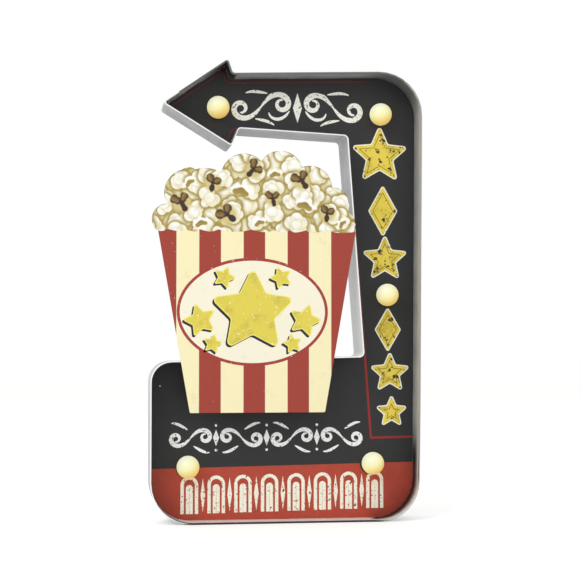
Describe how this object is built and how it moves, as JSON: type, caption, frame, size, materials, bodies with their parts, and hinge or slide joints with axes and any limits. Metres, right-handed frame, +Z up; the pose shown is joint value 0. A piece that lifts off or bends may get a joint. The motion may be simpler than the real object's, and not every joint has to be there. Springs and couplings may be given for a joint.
{
  "type": "led sign",
  "caption": "Arrow-shaped sheet-metal sign with a recessed printed face, a die-cut snack panel, glowing LED globes and a battery box with a sliding door and a slide switch.",
  "frame": {"origin": "middle of the bounding box in X and Y, at the lower edge that the sign stands on", "axes": "+X to the right and +Z up as seen from the front, the front faces -Y"},
  "size_m": [0.2646, 0.051, 0.4451],
  "materials": {
    "galvanised": "mottled galvanised sheet, satin",
    "charcoal_paint": "matte printed charcoal with a brick-red band below",
    "cream_print": "satin print on flat die-cut sheet",
    "frosted_globe": "frosted translucent, lit warm from within",
    "lamp_epoxy": "clear warm-white lamp body",
    "circuit_board": "green solder mask",
    "foam": "double-sided foam pad",
    "black_plastic": "fine-grained moulding",
    "cell_jacket": "plain printed jacket without lettering",
    "nickel": "nickel-plated strip",
    "clear_plastic": "natural nylon",
    "red_insulation": "smooth insulation",
    "black_insulation": "smooth insulation"
  },
  "bodies": {
    "sign": {"wall_strip_inner": "galvanised", "wall_strip_outer": "galvanised", "seam_strap": "galvanised", "hangers": "galvanised", "face_plate": "charcoal_paint", "panel_bracket_left": "charcoal_paint", "panel_bracket_right": "charcoal_paint", "popcorn_panel": "cream_print", "globe_caps": "frosted_globe", "led_lamps": "lamp_epoxy", "lamp_boards": "circuit_board", "case_pad": "foam", "battery_case": "black_plastic", "cell_upper": "cell_jacket", "cell_lower": "cell_jacket", "contact_bridge": "nickel", "contact_plus": "nickel", "contact_minus": "nickel", "switch_body": "nickel", "switch_terminals": "nickel", "lead_clips": "clear_plastic", "lead_red_feed": "red_insulation", "lead_red_base": "red_insulation", "lead_red_column": "red_insulation", "lead_red_side": "red_insulation", "lead_red_bar": "red_insulation", "lead_black_feed": "black_insulation", "lead_black_base": "black_insulation", "lead_black_column": "black_insulation", "lead_black_side": "black_insulation", "lead_black_bar": "black_insulation"},
    "battery_door": {"battery_door": "black_plastic"},
    "switch_slider": {"switch_slider": "black_plastic"}
  },
  "joints": [
    {"name": "door_slide", "type": "slide", "parent": "sign", "child": "battery_door", "axis": [1, 0, 0], "range_m": [0, 0.058]},
    {"name": "switch_slide", "type": "slide", "parent": "sign", "child": "switch_slider", "axis": [0, 0, 1], "range_m": [0, 0.003]}
  ]
}
